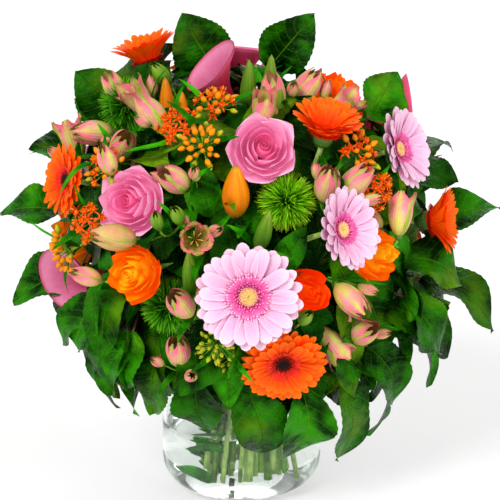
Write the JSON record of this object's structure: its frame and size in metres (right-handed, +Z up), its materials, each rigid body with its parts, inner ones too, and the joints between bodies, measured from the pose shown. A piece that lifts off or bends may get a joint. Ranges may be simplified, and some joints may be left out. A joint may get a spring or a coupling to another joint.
{
  "type": "mixed cut flower bouquet with gerberas in a glass vase",
  "caption": "Round spiral-tied bouquet of gerberas, roses, callas, lilies and leaf sprays, standing in a clear glass vase part filled with water.",
  "frame": {"origin": "middle of the vase's flat underside", "axes": "+Z up along the vase's axis, -Y towards the front of the bouquet, +X to the right as seen from the front"},
  "size_m": [0.4654, 0.3982, 0.4536],
  "materials": {
    "glass": "clear glass with a faint green tint, polished",
    "water": "clear still water",
    "raffia": "twisted natural raffia, dull and fibrous",
    "gerbera_pink": "pale pink petals with whiter edges, deep pink inner florets, satin",
    "gerbera_orange": "orange to orange-red petals with a dark centre, satin",
    "rose_pink": "clear pink petals, velvety",
    "rose_orange": "yellow-orange petals with red rims, velvety",
    "calla": "dusty pink inside, crimson outside, waxy",
    "dianthus": "fine fresh green bracts, matte",
    "lily": "green to orange closed buds, satin",
    "alstroemeria": "salmon pink tepals with yellow-green keels, satin",
    "asclepias": "orange star florets and yellow-orange buds, satin",
    "lemon_leaf": "dark green leathery leaves with pale veins, glossy"
  },
  "bodies": {
    "root": {"vase": "glass", "water": "water", "tie": "raffia", "gerbera_pink_front": "gerbera_pink", "gerbera_pink_right": "gerbera_pink", "gerbera_pink_upper_right": "gerbera_pink", "gerbera_pink_back": "gerbera_pink", "gerbera_pink_back_left": "gerbera_pink", "gerbera_orange_left": "gerbera_orange", "gerbera_orange_low": "gerbera_orange", "gerbera_orange_back": "gerbera_orange", "gerbera_orange_back_right": "gerbera_orange", "gerbera_orange_right": "gerbera_orange", "gerbera_orange_upper": "gerbera_orange", "gerbera_orange_crown": "gerbera_orange", "rose_pink_left": "rose_pink", "rose_pink_upper": "rose_pink", "rose_pink_back": "rose_pink", "rose_pink_back_right": "rose_pink", "rose_orange_left": "rose_orange", "rose_orange_right": "rose_orange", "rose_orange_top": "rose_orange", "rose_orange_centre": "rose_orange", "rose_orange_back": "rose_orange", "calla_top": "calla", "calla_left": "calla", "calla_right": "calla", "calla_back": "calla", "dianthus_upper_left": "dianthus", "dianthus_front": "dianthus", "dianthus_low_left": "dianthus", "dianthus_back": "dianthus", "lily_top": "lily", "lily_front": "lily", "lily_low": "lily", "lily_upper_left": "lily", "alstroemeria_left": "alstroemeria", "alstroemeria_upper_left": "alstroemeria", "alstroemeria_middle": "alstroemeria", "alstroemeria_top": "alstroemeria", "alstroemeria_right": "alstroemeria", "alstroemeria_low_right": "alstroemeria", "alstroemeria_low_left": "alstroemeria", "alstroemeria_back": "alstroemeria", "asclepias_upper": "asclepias", "asclepias_left": "asclepias", "asclepias_right": "asclepias", "asclepias_low": "asclepias", "asclepias_back": "asclepias", "leaves_upper_left": "lemon_leaf", "leaves_left": "lemon_leaf", "leaves_low_left": "lemon_leaf", "leaves_low_front": "lemon_leaf", "leaves_low_right": "lemon_leaf", "leaves_right": "lemon_leaf", "leaves_upper_right": "lemon_leaf", "leaves_top": "lemon_leaf", "leaves_back_left": "lemon_leaf", "leaves_back": "lemon_leaf", "leaves_back_right": "lemon_leaf"}
  },
  "joints": []
}
